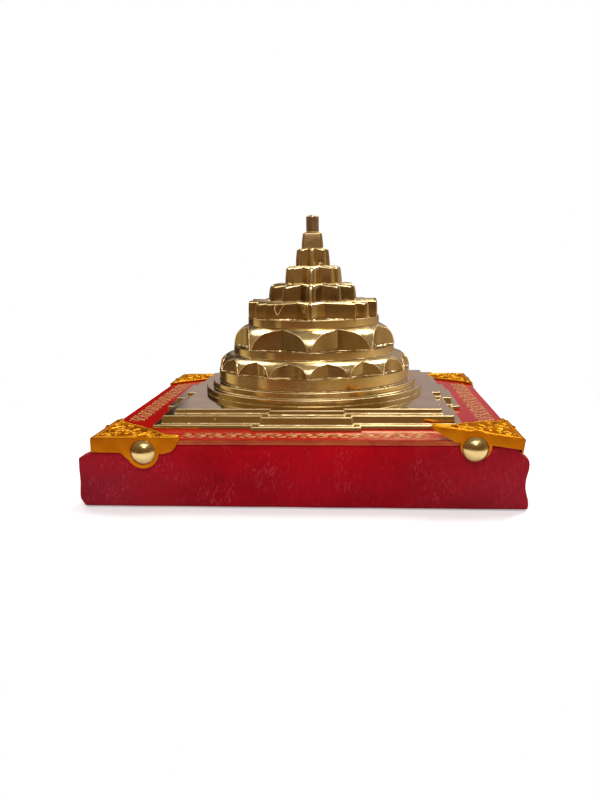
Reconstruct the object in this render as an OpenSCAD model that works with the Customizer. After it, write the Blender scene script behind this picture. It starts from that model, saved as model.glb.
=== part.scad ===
// Meru shri yantra: stacked brass tiers standing on a velvet-covered board.
// Sizes are in millimetres. Z is up, the front is -Y, the origin is the middle of the underside.

/* [Board] */
// Side of the square wooden core
core_side = 141; // [120:1:170]
// Thickness of the wooden core
core_thick = 20; // [12:0.5:30]
// Thickness of the velvet on top of the core and in the hem under it
cloth_thick = 0.9; // [0.5:0.1:2]
// Thickness of the padded velvet on the four sides
cloth_side = 1.8; // [1.2:0.1:3]
// How far the folded velvet stands out further on the left and right sides
cloth_bulge = 4; // [1:0.1:6]
// Width of the hem that is turned under the core
hem_width = 7; // [4:0.5:15]
// Thickness of the backing sheet inside the hem
backing_thick = 0.9; // [0.4:0.1:2]
// Gap between the backing sheet and the hem
backing_gap = 0.4; // [0.2:0.1:2]

/* [Red plate] */
// Side of the square red plate
plate_side = 144.6; // [125:0.2:170]
// Thickness of the red plate
plate_thick = 2; // [1:0.1:4]

/* [Corner brackets] */
// Thickness of the bracket sheet
sheet = 0.6; // [0.4:0.1:1.2]
// Length of each bracket arm from the inner corner
bracket_arm = 30.6; // [26:0.2:45]
// Depth of the flange below the top web
flange_drop = 4.3; // [3:0.1:7]
// Radius of the round lobe under each tack
lobe_radius = 5.6; // [4.8:0.1:7]
// Distance of a tack from the inner corner
tack_along = 17.6; // [15:0.2:20]
// Distance of the lifted front right flange's tack from the inner corner
lifted_tack_along = 15; // [13.5:0.1:19]
// Drop of the lifted flange near the corner
lifted_drop = 3; // [2.6:0.1:4.3]
// Radius of the lifted flange's lobe
lifted_lobe_radius = 5.2; // [4.8:0.1:7]
// How far the lifted flange's lobe sits above its tack
lifted_lobe_rise = 1.2; // [0:0.1:1.5]
// Distance of a tack below the top web
tack_below = 4.4; // [3:0.1:6]
// Gap between the bracket and the plate edge
bracket_gap = 0.3; // [0.2:0.05:0.8]
// Gap between the top web and the corner of the square base, along each side
web_clearance = 0.9; // [0.5:0.1:4]
// Hand-set tilt of the front right bracket, in degrees
front_right_tilt = 8.4; // [0:0.2:9]
// Outward shift that keeps the tilted bracket clear of the plate
tilt_shift = 0.35; // [0.3:0.05:1]

/* [Dome tacks] */
// Radius of the domed head
tack_head_radius = 4.5; // [3.5:0.1:4.8]
// Height of the domed head
tack_head_height = 2.4; // [1.6:0.1:4]
// Radius of the shank
tack_shank_radius = 0.8; // [0.6:0.05:1.2]
// Length of the shank
tack_shank_length = 12; // [8:0.5:16]
// Gap around the shank in the bracket and the core
shank_gap = 0.1; // [0.05:0.05:0.4]

/* [Square base] */
// Half width of the lowest level
base_low_half = 56; // [52:0.2:62]
// Half width of the middle level
base_mid_half = 53.2; // [50.5:0.2:55]
// Half width of the upper level
base_top_half = 49; // [47:0.2:52]
// Height of the lowest level
base_low_height = 1.4; // [0.8:0.1:3]
// Height of the middle level
base_mid_height = 2.9; // [2:0.1:5]
// Height of the upper level
base_top_height = 1.7; // [1:0.1:3]
// Half width of the gate in the lowest level
gate_low_half = 19.8; // [17.5:0.2:30]
// Half width of the gate in the middle level
gate_mid_half = 16.8; // [14.5:0.2:19]
// Half width of the gate in the upper level
gate_top_half = 13.8; // [8:0.2:16]
// How far each gate stands out
gate_out = 3.2; // [1.5:0.1:5]
// Thickness of brass left over the hollow underside
base_skin = 2.4; // [1.6:0.1:2.6]
// Half width of the hollow underside
base_hollow_half = 44; // [20:0.5:46]

/* [Circular steps] */
// Radius of the lower step
step_low_radius = 45.5; // [43.5:0.1:48.5]
// Radius of the upper step
step_top_radius = 42.7; // [40.6:0.1:45]
// Height of the lower step
step_low_height = 2.4; // [1.8:0.1:4]
// Height of the upper step
step_top_height = 2.2; // [1.8:0.1:4]
// Radius of the bore
step_bore = 36; // [34:0.1:38.5]

/* [Sixteen-petal ring] */
// Radius of the band
sixteen_radius = 40; // [39:0.1:42]
// Height of the band
sixteen_band = 4.8; // [3:0.1:7]
// Height of the domed part
sixteen_dome = 6.2; // [4:0.1:8]
// Radius at the top of the dome
sixteen_top_radius = 33.9; // [33.2:0.1:34.4]
// Radius at the groove in the middle of a petal
sixteen_groove = 34.8; // [34.5:0.1:36]
// Radius of the bore
sixteen_bore = 31.5; // [28:0.1:32.5]

/* [Eight-petal ring] */
// Radius of the band
eight_radius = 33.65; // [32.8:0.05:33.8]
// Height of the band
eight_band = 3; // [2:0.1:5]
// Height of the domed part
eight_dome = 8.6; // [6:0.1:11]
// Radius at the top of the dome
eight_top_radius = 27.6; // [26.5:0.1:28]
// Radius at the groove in the middle of a petal
eight_groove = 28.4; // [28.1:0.1:29.5]
// Radius of the bore
eight_bore = 24; // [20:0.1:25.5]

/* [Petals] */
// Width of the land between two petals
petal_land = 0.4; // [0.2:0.05:1]

/* [Drum] */
// Radius of the plain drum
drum_radius = 27.35; // [26:0.05:28]
// Height of the drum
drum_height = 3.2; // [2.4:0.1:5]

/* [Star tiers] */
// Half width of the fourteen-point tier at its foot
fourteen_half = 27.3; // [24:0.1:28]
// Half width of the outer ten-point tier at its foot
outer_ten_half = 18.4; // [16:0.1:20]
// Half width of the inner ten-point tier at its foot
inner_ten_half = 11.5; // [9.5:0.1:12]
// Half width of the eight-point tier at its foot
eight_half = 6.8; // [6:0.1:7.5]
// Distance of the triangle tier's sides from its middle, at its foot
triangle_inner = 3.3; // [3.2:0.05:4]
// Half width of the triangle tier across its blunted corners, at its foot
triangle_half = 4.3; // [3.8:0.05:5]
// Height of the fourteen-point tier
fourteen_height = 6.8; // [4:0.1:10]
// Height of the outer ten-point tier
outer_ten_height = 6.8; // [4:0.1:10]
// Height of the inner ten-point tier
inner_ten_height = 7; // [4:0.1:10]
// Height of the eight-point tier
eight_height = 7.2; // [4:0.1:10]
// Height of the triangle tier
triangle_height = 6.4; // [4:0.1:10]
// How far the fourteen-point tier leans in at its top
fourteen_lean = 0.4; // [0:0.05:1]
// How far the outer ten-point tier leans in at its top
outer_ten_lean = 0.7; // [0:0.05:1.2]
// How far the inner ten-point tier leans in at its top
inner_ten_lean = 0.65; // [0:0.05:1]
// How far the eight-point tier leans in at its top
eight_lean = 0.55; // [0:0.05:0.8]
// How far the triangle tier leans in at its top
triangle_lean = 0.5; // [0:0.05:0.6]

/* [Bindu] */
// Radius of the bindu
bindu_radius = 2.6; // [2.4:0.05:2.75]
// Height of the bindu
bindu_height = 6.8; // [5.5:0.1:9]
// Radius of the rounded top edge
bindu_round = 1; // [0.3:0.05:1.6]

/* [Joints in the brass stack] */
// Height of each round register and square key
register_height = 1.2; // [0.8:0.1:1.5]
// Gap around each register and key
register_gap = 0.2; // [0.1:0.05:0.4]
// Gap under each square key
key_end_gap = 0.3; // [0.1:0.05:0.6]
// Side of the key under the fourteen-point tier
fourteen_key = 20; // [12:0.5:24]
// Side of the key under the outer ten-point tier
outer_ten_key = 12; // [8:0.2:14]
// Side of the key under the inner ten-point tier
inner_ten_key = 8; // [6:0.2:9]
// Side of the key under the eight-point tier
eight_key = 5.6; // [5:0.1:6]
// Side of the key under the triangle tier
triangle_key = 4.6; // [4.4:0.1:5]
// Radius of the tie rod
rod_radius = 1.5; // [1:0.05:1.6]
// Gap around the tie rod
rod_gap = 0.25; // [0.15:0.05:0.4]
// Depth of the rod in the bindu
rod_in_bindu = 4.4; // [3:0.1:5]
// Outer radius of the washer
washer_radius = 4.5; // [3.5:0.1:8]
// Thickness of the washer
washer_thick = 0.8; // [0.5:0.1:1]
// Width of the nut across its flats
nut_flats = 5.5; // [5:0.1:8]
// Thickness of the nut
nut_thick = 2.2; // [1.6:0.1:2.4]

/* [Hidden] */
$fn = 96;
tiny = 0.01;
corner_names = ["front_left", "front_right", "rear_right", "rear_left"];
tack_sides = ["a", "b"];

// Heights in the board
z_core = max(cloth_thick, backing_thick);
z_core_top = z_core + core_thick;
z_plate = z_core_top + cloth_thick;
z_brass = z_plate + plate_thick;
cloth_half = core_side / 2 + cloth_side;
seat_half = max(plate_side / 2, cloth_half) + bracket_gap;
hem_inner = core_side / 2 - hem_width;
web_middle = seat_half - base_low_half - web_clearance;

// Heights in the brass
base_height = base_low_height + base_mid_height + base_top_height;
z_steps = z_brass + base_height;
z_sixteen = z_steps + step_low_height + step_top_height;
z_eight = z_sixteen + sixteen_band + sixteen_dome;
z_drum = z_eight + eight_band + eight_dome;
z_fourteen = z_drum + drum_height;
z_outer_ten = z_fourteen + fourteen_height;
z_inner_ten = z_outer_ten + outer_ten_height;
z_eight_point = z_inner_ten + inner_ten_height;
z_triangle = z_eight_point + eight_height;
z_bindu = z_triangle + triangle_height;
rod_hole = rod_radius + rod_gap;
z_skin = z_steps - base_skin;
z_rod = z_skin - washer_thick - nut_thick;

// Nine lines of the yantra, counted from the front, in parts of a circle 48 parts across.
// Each triangle has its base on one line and its point on the middle of another.
line_at = [6, 12, 17, 20, 23, 27, 30, 36, 42];
line_half = [14.6, 19.6, 23, 9.4, 6, 10.1, 23.2, 19.6, 14.6];
point_at = [27, 42, 48, 36, 30, 12, 0, 6, 17];

// Half width of triangle n, counted from 1, at line height y
function side(n, y) = line_half[n - 1] * (point_at[n - 1] - y) / (point_at[n - 1] - line_at[n - 1]);
// Height at which the sides of two triangles cross
function slope(n) = -line_half[n - 1] / (point_at[n - 1] - line_at[n - 1]);
function cross_at(a, b) = (side(b, 0) - side(a, 0)) / (slope(a) - slope(b));
function crossing(a, b) = [side(a, cross_at(a, b)), cross_at(a, b)];

// Right half of each star, from its front point to its back point
fourteen_right = [[0, 0], [side(7, 6), 6], [line_half[0], 6], [side(1, 12), 12], [line_half[1], 12],
    [side(2, 17), 17], [line_half[2], 17], crossing(3, 7), [line_half[6], 30], [side(8, 30), 30],
    [line_half[7], 36], [side(9, 36), 36], [line_half[8], 42], [side(3, 42), 42], [0, 48]];
outer_ten_right = [[0, 6], [side(8, 12), 12], [side(1, 12), 12], [side(1, 17), 17], [side(2, 17), 17],
    crossing(2, 8), [side(8, 30), 30], [side(9, 30), 30], [side(9, 36), 36], [side(2, 36), 36], [0, 42]];
inner_ten_right = [[0, 12], [side(6, 17), 17], [side(1, 17), 17], [side(1, 20), 20], [line_half[3], 20],
    crossing(4, 6), [line_half[5], 27], [side(9, 27), 27], [side(9, 30), 30], [side(4, 30), 30], [0, 36]];
eight_right = [[0, 17.6], [1.6, 20], [4.8, 20], [4.6, 22.6], [6, 23.2], [4.8, 25.2], [5.6, 27],
    [2.4, 27.4], [0, 30]];

// Whole outline with the given half width, its middle at the origin
function widest(right) = max([for (p = right) p[0]]);
function whole(right, half) = let (k = half / widest(right), n = len(right)) concat(
    [for (p = right) [p[0] * k, (p[1] - 24) * k]],
    [for (i = [n - 2:-1:1]) [-right[i][0] * k, (right[i][1] - 24) * k]]);

// Board

module board_core() {
    color("tan") difference() {
        translate([-core_side / 2, -core_side / 2, z_core]) cube([core_side, core_side, core_thick]);
        for (i = [0:3], k = [0:1]) at_corner(i) on_flange(k)
            tack_bore(tack_shank_radius + shank_gap, tack_place(i, k), tack_depth(i, k));
    }
}

module velvet_cover() {
    wing_half = cloth_half + cloth_bulge;
    wing_top = z_core_top - 2;
    color("crimson") difference() {
        union() {
            translate([-cloth_half, -cloth_half, z_core - cloth_thick])
                cube([2 * cloth_half, 2 * cloth_half, core_thick + 2 * cloth_thick]);
            translate([-wing_half, -cloth_half, z_core - cloth_thick])
                cube([2 * wing_half, 2 * cloth_half, wing_top - z_core + cloth_thick]);
        }
        translate([-core_side / 2, -core_side / 2, z_core]) cube([core_side, core_side, core_thick]);
        translate([-hem_inner, -hem_inner, -1]) cube([2 * hem_inner, 2 * hem_inner, z_core + 2]);
        for (i = [0:3], k = [0:1]) at_corner(i) on_flange(k) {
            tack_bore(tack_shank_radius + 3 * shank_gap, tack_place(i, k), tack_depth(i, k));
            cloth_pocket(tack_place(i, k), tack_depth(i, k));
        }
    }
}

// Room in the velvet for one flange, its lobe and the head of its tack
module cloth_pocket(along, depth) {
    reach = max(lobe_radius, tack_head_radius) + 1;
    translate([-20, -20, -flange_drop - 0.5]) cube([bracket_arm + 21, 20 + bracket_gap, 20]);
    translate([along - reach, -20, -depth - reach]) cube([2 * reach, 20 + bracket_gap, 20]);
}

module backing_sheet() {
    half = hem_inner - backing_gap;
    color("dimgray") translate([-half, -half, z_core - backing_thick]) cube([2 * half, 2 * half, backing_thick]);
}

module red_plate() {
    color("red") translate([-plate_side / 2, -plate_side / 2, z_plate]) cube([plate_side, plate_side, plate_thick]);
}

// Corner brackets and tacks. In a bracket's own frame the inner corner is the origin,
// the arms run along +X and +Y, and the underside of the top web is at Z = 0.

module at_corner(i) {
    tilt = i == 1 ? front_right_tilt : 0;
    shift = i == 1 ? tilt_shift : 0;
    rotate([0, 0, 90 * i]) translate([-seat_half, -seat_half - shift, z_brass]) rotate([tilt, 0, 0]) children();
}

// One flange runs along +X, the other along +Y
module on_flange(k) {
    if (k == 0) children();
    if (k == 1) mirror([1, -1, 0]) children();
}

// The front flange of the front right bracket is the lifted one
function lifted(i, k) = i == 1 && k == 1;
function tack_place(i, k) = lifted(i, k) ? lifted_tack_along : tack_along;
// Depth of a tack under the top web. The lifted flange has its tack just clear under the plate.
function tack_depth(i, k) = lifted(i, k) ? max(tack_below, lifted_tack_along * sin(front_right_tilt) + plate_thick
    + tack_shank_radius + 2 * shank_gap) : tack_below;

// A flange ends in a scallop, but the lifted one tapers straight to its tip
module flange_outline(along, depth, tapered) {
    r = tapered ? lifted_lobe_radius : lobe_radius;
    drop = tapered ? lifted_drop : flange_drop;
    rise = tapered ? lifted_lobe_rise : 0;
    scallop = [[along + 7, -flange_drop - 0.6], [bracket_arm - 3.2, -flange_drop + 0.2],
        [bracket_arm - 1.7, -flange_drop + 1.6], [bracket_arm - 0.9, -flange_drop + 3.2]];
    taper = [[along - 0.8 * r, -drop], [along + 1.35 * r, -flange_drop + 0.6], [bracket_arm - 1.2, -sheet]];
    difference() {
        union() {
            polygon(concat([[-sheet, sheet], [-sheet, -drop]], tapered ? taper : scallop,
                [[bracket_arm, sheet]]));
            if (!tapered) polygon([[along - 1.45 * r, -flange_drop + 1], [along - 1.45 * r, -flange_drop],
                [along - 1.25 * r, -flange_drop - 0.14 * r], [along - 1.08 * r, -depth - 0.33 * r],
                [along - 0.88 * r, -depth - 0.475 * r], [along, -depth], [along, -flange_drop + 1]]);
            translate([along, rise - depth]) circle(r);
        }
        translate([along, -depth]) circle(tack_shank_radius + shank_gap);
    }
}

module corner_bracket(i) {
    edge = [[0, 0.04], [0.24, 0.19], [0.51, 0.46], [0.74, 0.74]];
    lower = [for (e = edge) [bracket_arm - e[0] * (bracket_arm - web_middle), e[1] * web_middle]];
    color("orange") at_corner(i) {
        for (k = [0:1]) on_flange(k) rotate([90, 0, 0]) linear_extrude(sheet)
            flange_outline(tack_place(i, k), tack_depth(i, k), lifted(i, k));
        linear_extrude(sheet) polygon(concat([[-sheet, -sheet], [bracket_arm, -sheet]], lower,
            [[web_middle, web_middle]], [for (k = [3:-1:0]) [lower[k][1], lower[k][0]]], [[-sheet, bracket_arm]]));
    }
}

module tack_bore(r, along, depth) {
    bore_length = tack_shank_length + shank_gap - sheet + 1;
    translate([along, -1, -depth]) rotate([-90, 0, 0]) cylinder(r = r, h = bore_length);
}

module one_tack(along, depth) {
    ball = (tack_head_radius * tack_head_radius + tack_head_height * tack_head_height) / (2 * tack_head_height);
    translate([along, -sheet, -depth]) rotate([90, 0, 0]) {
        rotate_extrude() intersection() {
            translate([0, tack_head_height - ball]) circle(ball);
            square([tack_head_radius, tack_head_height]);
        }
        translate([0, 0, -tack_shank_length]) cylinder(r = tack_shank_radius, h = tack_shank_length + tiny);
    }
}

module dome_tack(i, k) {
    color("gold") at_corner(i) on_flange(k) one_tack(tack_place(i, k), tack_depth(i, k));
}

// Square base and rings

module level(half, gate_half, z, height) {
    reach = half + gate_out;
    translate([0, 0, z]) linear_extrude(height) union() {
        square(2 * half, center = true);
        square([2 * gate_half, 2 * reach], center = true);
        square([2 * reach, 2 * gate_half], center = true);
    }
}

module square_base() {
    color("goldenrod") difference() {
        union() {
            level(base_low_half, gate_low_half, z_brass, base_low_height);
            level(base_mid_half, gate_mid_half, z_brass + base_low_height, base_mid_height);
            level(base_top_half, gate_top_half, z_steps - base_top_height, base_top_height);
            translate([0, 0, z_steps - tiny]) cylinder(r = step_bore - register_gap, h = register_height + tiny);
        }
        translate([-base_hollow_half, -base_hollow_half, z_brass - 1])
            cube([2 * base_hollow_half, 2 * base_hollow_half, z_skin - z_brass + 1]);
        rod_bore();
    }
}

module circular_steps() {
    color("goldenrod") translate([0, 0, z_steps]) rotate_extrude() polygon([[step_bore, 0], [step_low_radius, 0],
        [step_low_radius, step_low_height], [step_top_radius, step_low_height],
        [step_top_radius, step_low_height + step_top_height], [step_bore, step_low_height + step_top_height]]);
}

// Ring with a plain band, a domed shoulder cut into petals, and a register under it.
// The shoulder is one arc, upright where it leaves the band.
module petal_ring(count, radius, band, dome, top_radius, groove, bore, below_bore) {
    half = 180 / count;
    width = radius - top_radius;
    arc = (width * width + dome * dome) / (2 * width);
    register = below_bore - register_gap;
    edge = half - asin(petal_land / 2 / radius);
    cusp = [(radius + 0.3) * cos(edge), (radius + 0.3) * sin(edge)];
    difference() {
        rotate_extrude() union() {
            translate([bore, -register_height]) square([register - bore, register_height + tiny]);
            translate([bore, 0]) square([radius - bore, band]);
            translate([bore, 0]) square([top_radius - bore, band + dome]);
            intersection() {
                translate([radius - arc, band]) circle(arc);
                translate([bore, 0]) square([radius - bore, band + dome]);
            }
        }
        for (i = [0:count - 1]) rotate([0, 0, -90 + half + i * 2 * half]) translate([0, 0, band])
            linear_extrude(dome + 1) polygon([[groove, 0], cusp, [radius + 4, cusp[1]], [radius + 4, -cusp[1]],
                [cusp[0], -cusp[1]]]);
    }
}

module sixteen_petal_ring() {
    color("goldenrod") translate([0, 0, z_sixteen]) petal_ring(16, sixteen_radius, sixteen_band, sixteen_dome,
        sixteen_top_radius, sixteen_groove, sixteen_bore, step_bore);
}

module eight_petal_ring() {
    color("goldenrod") translate([0, 0, z_eight]) petal_ring(8, eight_radius, eight_band, eight_dome,
        eight_top_radius, eight_groove, eight_bore, sixteen_bore);
}

module star_drum() {
    color("goldenrod") difference() {
        union() {
            translate([0, 0, z_drum]) cylinder(r = drum_radius, h = drum_height);
            translate([0, 0, z_drum - register_height])
                cylinder(r = eight_bore - register_gap, h = register_height + tiny);
        }
        key_socket(z_fourteen, fourteen_key);
        rod_bore();
    }
}

// Star tiers

module rod_bore() {
    cylinder(r = rod_hole, h = z_bindu);
}

module key_socket(z, key) {
    depth = register_height + key_end_gap;
    side = key + 2 * register_gap;
    translate([-side / 2, -side / 2, z - depth]) cube([side, side, depth + 1]);
}

// Star with leaning sides and a square key under it
module star_body(right, half, lean, z, height, key) {
    translate([0, 0, z]) linear_extrude(height, scale = (half - lean) / half) polygon(whole(right, half));
    key_block(z, key);
}

module key_block(z, key) {
    translate([-key / 2, -key / 2, z - register_height]) cube([key, key, register_height + tiny]);
}

module fourteen_point_tier() {
    color("goldenrod") difference() {
        intersection() {
            star_body(fourteen_right, fourteen_half, fourteen_lean, z_fourteen, fourteen_height, fourteen_key);
            translate([0, 0, z_drum])
                cylinder(r = min(drum_radius, fourteen_half) - 0.1, h = drum_height + fourteen_height + 1);
        }
        key_socket(z_outer_ten, outer_ten_key);
        rod_bore();
    }
}

module outer_ten_point_tier() {
    color("goldenrod") difference() {
        star_body(outer_ten_right, outer_ten_half, outer_ten_lean, z_outer_ten, outer_ten_height, outer_ten_key);
        key_socket(z_inner_ten, inner_ten_key);
        rod_bore();
    }
}

module inner_ten_point_tier() {
    color("goldenrod") difference() {
        star_body(inner_ten_right, inner_ten_half, inner_ten_lean, z_inner_ten, inner_ten_height, inner_ten_key);
        key_socket(z_eight_point, eight_key);
        rod_bore();
    }
}

module eight_point_tier() {
    color("goldenrod") difference() {
        star_body(eight_right, eight_half, eight_lean, z_eight_point, eight_height, eight_key);
        key_socket(z_triangle, triangle_key);
        rod_bore();
    }
}

// Triangle with its flat side to the front and its corners blunted
module triangle_tier() {
    r = triangle_inner;
    w = triangle_half;
    apex = 2 * r;
    blunt = 2.2;
    tip = blunt / sqrt(3);
    shoulder = apex - w * sqrt(3);
    outline = [[-w, -r], [w, -r], [w, shoulder], [tip, apex - blunt], [-tip, apex - blunt], [-w, shoulder]];
    color("goldenrod") difference() {
        union() {
            translate([0, 0, z_triangle]) linear_extrude(triangle_height, scale = (r - triangle_lean) / r)
                polygon(outline);
            key_block(z_triangle, triangle_key);
        }
        rod_bore();
    }
}

module bindu() {
    color("goldenrod") difference() {
        translate([0, 0, z_bindu]) rotate_extrude() union() {
            square([bindu_radius, bindu_height - bindu_round]);
            square([bindu_radius - bindu_round, bindu_height]);
            translate([bindu_radius - bindu_round, bindu_height - bindu_round]) intersection() {
                circle(bindu_round);
                square(bindu_round);
            }
        }
        translate([0, 0, z_bindu - 1]) cylinder(r = rod_hole, h = rod_in_bindu + 1);
    }
}

// Tie rod and its fastening

module tie_rod() {
    color("silver") translate([0, 0, z_rod]) cylinder(r = rod_radius, h = z_bindu + rod_in_bindu - z_rod);
}

module tie_washer() {
    color("silver") translate([0, 0, z_skin - washer_thick]) difference() {
        cylinder(r = washer_radius, h = washer_thick);
        translate([0, 0, -1]) cylinder(r = rod_hole, h = washer_thick + 2);
    }
}

module tie_nut() {
    color("silver") translate([0, 0, z_rod]) difference() {
        cylinder(r = nut_flats / sqrt(3), h = nut_thick, $fn = 6);
        translate([0, 0, -1]) cylinder(r = rod_radius + rod_gap / 2, h = nut_thick + 2);
    }
}

board_core();
velvet_cover();
backing_sheet();
red_plate();
for (i = [0:3]) corner_bracket(i);
for (i = [0:3]) for (k = [0:1])
    dome_tack(i, k);
square_base();
circular_steps();
sixteen_petal_ring();
eight_petal_ring();
star_drum();
fourteen_point_tier();
outer_ten_point_tier();
inner_ten_point_tier();
eight_point_tier();
triangle_tier();
bindu();
tie_rod();
tie_washer();
tie_nut();
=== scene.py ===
# %% [markdown]
# Meru shri yantra, dressed for its picture.
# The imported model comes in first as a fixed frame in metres: the front is -Y, Z is up, and the
# origin is the middle of the underside. Every piece made below is modelled in place over it.

# %% Load the frame
import bpy
import math
import random
from mathutils import Matrix, Vector, noise


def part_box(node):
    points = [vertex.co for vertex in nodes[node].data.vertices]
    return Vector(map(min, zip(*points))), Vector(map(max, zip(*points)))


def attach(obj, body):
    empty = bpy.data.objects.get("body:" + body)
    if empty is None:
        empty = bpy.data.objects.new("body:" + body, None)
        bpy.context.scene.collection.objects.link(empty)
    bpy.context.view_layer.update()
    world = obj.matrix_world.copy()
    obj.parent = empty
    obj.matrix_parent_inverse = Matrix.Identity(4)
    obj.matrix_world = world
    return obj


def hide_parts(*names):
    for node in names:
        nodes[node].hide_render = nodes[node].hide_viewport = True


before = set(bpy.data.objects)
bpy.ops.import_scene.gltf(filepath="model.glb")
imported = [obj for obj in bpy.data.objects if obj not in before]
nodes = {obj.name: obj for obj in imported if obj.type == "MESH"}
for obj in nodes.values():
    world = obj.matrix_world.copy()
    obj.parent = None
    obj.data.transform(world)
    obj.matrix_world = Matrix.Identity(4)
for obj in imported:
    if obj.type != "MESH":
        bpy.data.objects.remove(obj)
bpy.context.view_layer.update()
mm = 0.001

# %% [markdown]
# A few habits of the hand are used again and again: letting go of everything, picking up one
# object, going into its mesh and out again, and adding a modifier that is applied at once. They are
# small functions, so that each step below reads as one move.

# %% Small helpers
def object_mode():
    bpy.ops.object.mode_set(mode="OBJECT")


def edit_mode(choice=None):
    bpy.ops.object.mode_set(mode="EDIT")
    if choice:
        bpy.ops.mesh.select_all(action=choice)


def let_go():
    if bpy.context.mode != "OBJECT":
        object_mode()
    bpy.ops.object.select_all(action="DESELECT")


def pick(*chosen):
    let_go()
    for piece in chosen:
        piece.select_set(True)
    bpy.context.view_layer.objects.active = chosen[0]


def at_hand():
    return bpy.context.active_object


def work_on(points=False, edges=False, faces=False):
    bpy.context.tool_settings.mesh_select_mode = (points, edges, faces)


def apply_modifier(piece, kind, **settings):
    pick(piece)
    bpy.ops.object.modifier_add(type=kind)
    modifier = piece.modifiers[-1]
    for key, value in settings.items():
        setattr(modifier, key, value)
    bpy.ops.object.modifier_apply(modifier=modifier.name)


def extrude_up(height):
    bpy.ops.mesh.extrude_region_move(TRANSFORM_OT_translate={"value": (0, 0, height)})


def face_outward(piece):
    pick(piece)
    edit_mode("SELECT")
    bpy.ops.mesh.normals_make_consistent(inside=False)
    object_mode()


def smooth(piece, angle):
    pick(piece)
    bpy.ops.object.shade_smooth_by_angle(angle=math.radians(angle))


def even_shading(piece, angle):
    smooth(piece, angle)
    apply_modifier(piece, "WEIGHTED_NORMAL", keep_sharp=True, weight=80)


def settle(piece):
    pick(piece)
    bpy.ops.object.transform_apply(location=True, rotation=True, scale=True)


def join(name, parts):
    pick(*parts)
    if len(parts) > 1:
        bpy.ops.object.join()
    piece = at_hand()
    piece.name = name
    piece.data.name = name
    return piece


def twin(piece, name):
    copy = bpy.data.objects.new(name, piece.data.copy())
    bpy.context.scene.collection.objects.link(copy)
    return copy


def wear(piece, *finishes):
    piece.data.materials.clear()
    for finish in finishes:
        piece.data.materials.append(finish)


def hand_over(piece, body, slot, finish, *stands_for):
    if finish:
        wear(piece, finish)
    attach(piece, body)
    if stands_for:
        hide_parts(*stands_for)


print("helpers ready")

# %% [markdown]
# The camera stands a little right of the middle, about 32 cm in front, and looks slightly down.
# Its place, turn and lens come from lining up the rings and corners of the model with the picture.

# %% Camera
def aim(place, pitch, yaw, roll):
    ahead = Vector((math.sin(yaw) * math.cos(pitch), math.cos(yaw) * math.cos(pitch), -math.sin(pitch)))
    right = Vector((math.cos(yaw), -math.sin(yaw), 0))
    up = right.cross(ahead)
    side = right * math.cos(roll) + up * math.sin(roll)
    top = up * math.cos(roll) - right * math.sin(roll)
    turn = Matrix((side, top, -ahead)).transposed().to_4x4()
    return Matrix.Translation(place) @ turn


let_go()
bpy.ops.object.camera_add()
camera = at_hand()
camera.name = "picture_camera"
camera.data.lens = 34.375
camera.data.sensor_width = 36
camera_place = Vector((18.04, -322.13, 84.16)) * mm
camera.matrix_world = aim(camera_place, pitch=0.18413, yaw=-0.07518, roll=-0.01464)
bpy.context.scene.camera = camera
print("camera at", [round(v, 4) for v in camera.location])

# %% [markdown]
# Polished brass shows mostly what stands around it. So the room that mirrors see is painted with
# colour ramps around the compass: brown in front, where the photographer stands, bright strips on
# the left with a dark corner behind them, and paler behind and on the right. Other ramps lay the
# ceiling over it and the ground under it. The camera itself sees plain white, and the soft light on
# matt things is one even grey. Four round softboxes and one long strip give the highlights.

# %% World and lamps
scene = bpy.context.scene
scene.view_settings.view_transform = "Standard"


def link(tree, a, b):
    tree.links.new(a, b)


def add_node(tree, kind, **settings):
    node = tree.nodes.new(kind)
    for key, value in settings.items():
        setattr(node, key, value)
    return node


def feed(tree, socket, value):
    if isinstance(value, (int, float)):
        socket.default_value = value
    elif isinstance(value, tuple):
        socket.default_value = (*value, 1)
    else:
        link(tree, value, socket)


def ramp(tree, source, stops):
    node = add_node(tree, "ShaderNodeValToRGB")
    steps = node.color_ramp.elements
    while len(steps) > 1:
        steps.remove(steps[-1])
    steps[0].position, steps[0].color = stops[0][0], (*stops[0][1], 1)
    for place, colour in stops[1:]:
        steps.new(place).color = (*colour, 1)
    link(tree, source, node.inputs[0])
    return node.outputs[0]


def spread(tree, source, low, high, to_low, to_high):
    node = add_node(tree, "ShaderNodeMapRange")
    for socket, value in zip(node.inputs, (source, low, high, to_low, to_high)):
        feed(tree, socket, value)
    return node.outputs[0]


def calculate(tree, operation, *values):
    node = add_node(tree, "ShaderNodeMath", operation=operation)
    for socket, value in zip(node.inputs, values):
        feed(tree, socket, value)
    return node.outputs[0]


def blend_colour(tree, share, first, second, way="MIX"):
    node = add_node(tree, "ShaderNodeMix", data_type="RGBA", blend_type=way)
    for index, value in ((0, share), (6, first), (7, second)):
        feed(tree, node.inputs[index], value)
    return node.outputs[2]


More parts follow.
